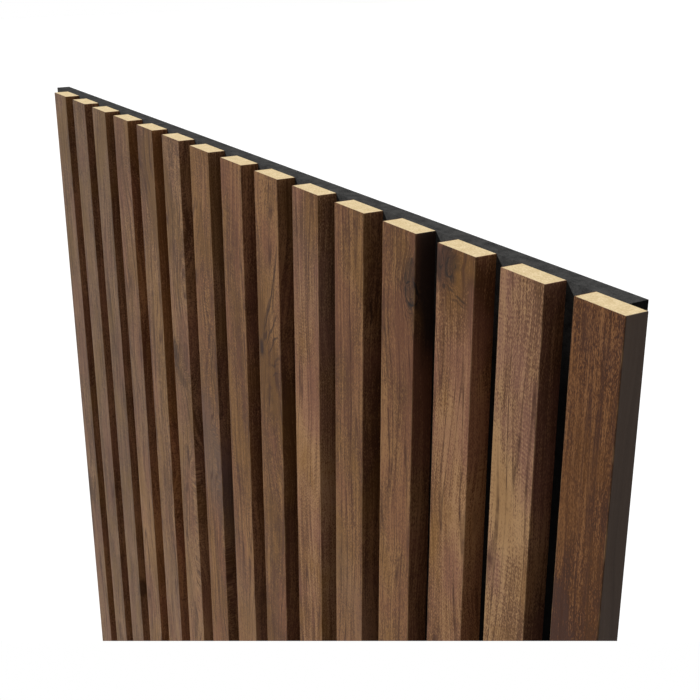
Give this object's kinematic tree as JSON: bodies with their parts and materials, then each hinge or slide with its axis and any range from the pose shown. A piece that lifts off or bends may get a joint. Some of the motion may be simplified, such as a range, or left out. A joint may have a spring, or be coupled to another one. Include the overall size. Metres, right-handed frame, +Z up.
{
  "type": "acoustic slat wall panel",
  "caption": "Tall wall panel of upright veneered slats with open grooves between them, on a felt backing sheet whose edges lap with the next panel.",
  "frame": {"origin": "centre of the felt's flat back face, which lies on the wall", "axes": "+X to the right as seen from the room, +Y into the wall, +Z up along the slats"},
  "size_m": [0.609, 0.019, 2.4],
  "materials": {
    "felt": "matt pressed felt",
    "fibreboard": "sawn, matt",
    "walnut_veneer": "matt lacquer",
    "staple_steel": "galvanised"
  },
  "bodies": {
    "root": {"felt_backing": "felt", "slat_core_01": "fibreboard", "slat_core_02": "fibreboard", "slat_core_03": "fibreboard", "slat_core_04": "fibreboard", "slat_core_05": "fibreboard", "slat_core_06": "fibreboard", "slat_core_07": "fibreboard", "slat_core_08": "fibreboard", "slat_core_09": "fibreboard", "slat_core_10": "fibreboard", "slat_core_11": "fibreboard", "slat_core_12": "fibreboard", "slat_core_13": "fibreboard", "slat_core_14": "fibreboard", "slat_core_15": "fibreboard", "slat_veneer_01": "walnut_veneer", "slat_veneer_02": "walnut_veneer", "slat_veneer_03": "walnut_veneer", "slat_veneer_04": "walnut_veneer", "slat_veneer_05": "walnut_veneer", "slat_veneer_06": "walnut_veneer", "slat_veneer_07": "walnut_veneer", "slat_veneer_08": "walnut_veneer", "slat_veneer_09": "walnut_veneer", "slat_veneer_10": "walnut_veneer", "slat_veneer_11": "walnut_veneer", "slat_veneer_12": "walnut_veneer", "slat_veneer_13": "walnut_veneer", "slat_veneer_14": "walnut_veneer", "slat_veneer_15": "walnut_veneer", "staples": "staple_steel"}
  },
  "joints": []
}
